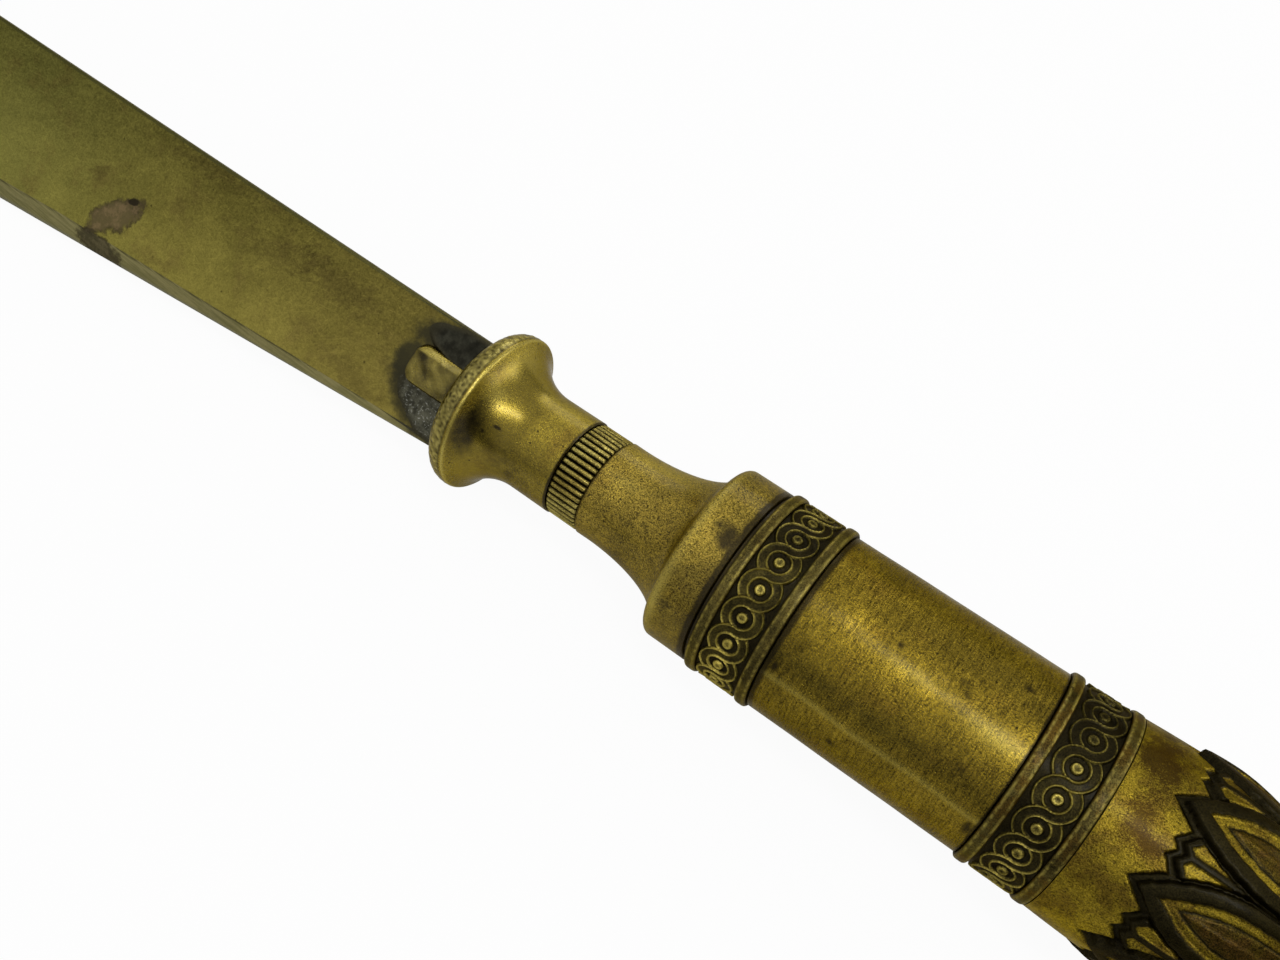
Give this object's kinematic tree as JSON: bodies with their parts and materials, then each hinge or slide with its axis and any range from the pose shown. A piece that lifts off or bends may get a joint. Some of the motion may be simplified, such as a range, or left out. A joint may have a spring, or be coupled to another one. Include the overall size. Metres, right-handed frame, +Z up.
{
  "type": "letter opener",
  "caption": "Brass letter opener: knife-shaped blade soldered into a turned handle with a trumpet bolster, reeded collar, guilloche bands and a leaf pommel.",
  "frame": {"origin": "centre of the bounding box on the desk the opener lies on", "axes": "+X along the handle from the blade's tip to the pommel, +Z up from the desk, +Y across the desk on the spine's side"},
  "size_m": [0.2543, 0.023, 0.023],
  "materials": {
    "blade_brass": "dull, wiped, tarnished",
    "turned_brass": "worn satin with fine pits",
    "dark_brass": "dark patina in the hollows, bright worn ridges",
    "solder": "dull grey soft solder",
    "rod_steel": "plain drawn steel"
  },
  "bodies": {
    "root": {"blade": "blade_brass", "bolster": "turned_brass", "front_solder": "solder", "back_solder": "solder", "reeded_collar": "turned_brass", "shoulder_ferrule": "turned_brass", "upper_front_fillet": "dark_brass", "upper_guilloche_band": "dark_brass", "upper_back_fillet": "dark_brass", "barrel": "turned_brass", "lower_front_fillet": "dark_brass", "lower_guilloche_band": "dark_brass", "lower_back_fillet": "dark_brass", "leaf_pommel": "dark_brass", "end_washer": "turned_brass", "end_button": "turned_brass", "tie_rod": "rod_steel"}
  },
  "joints": []
}
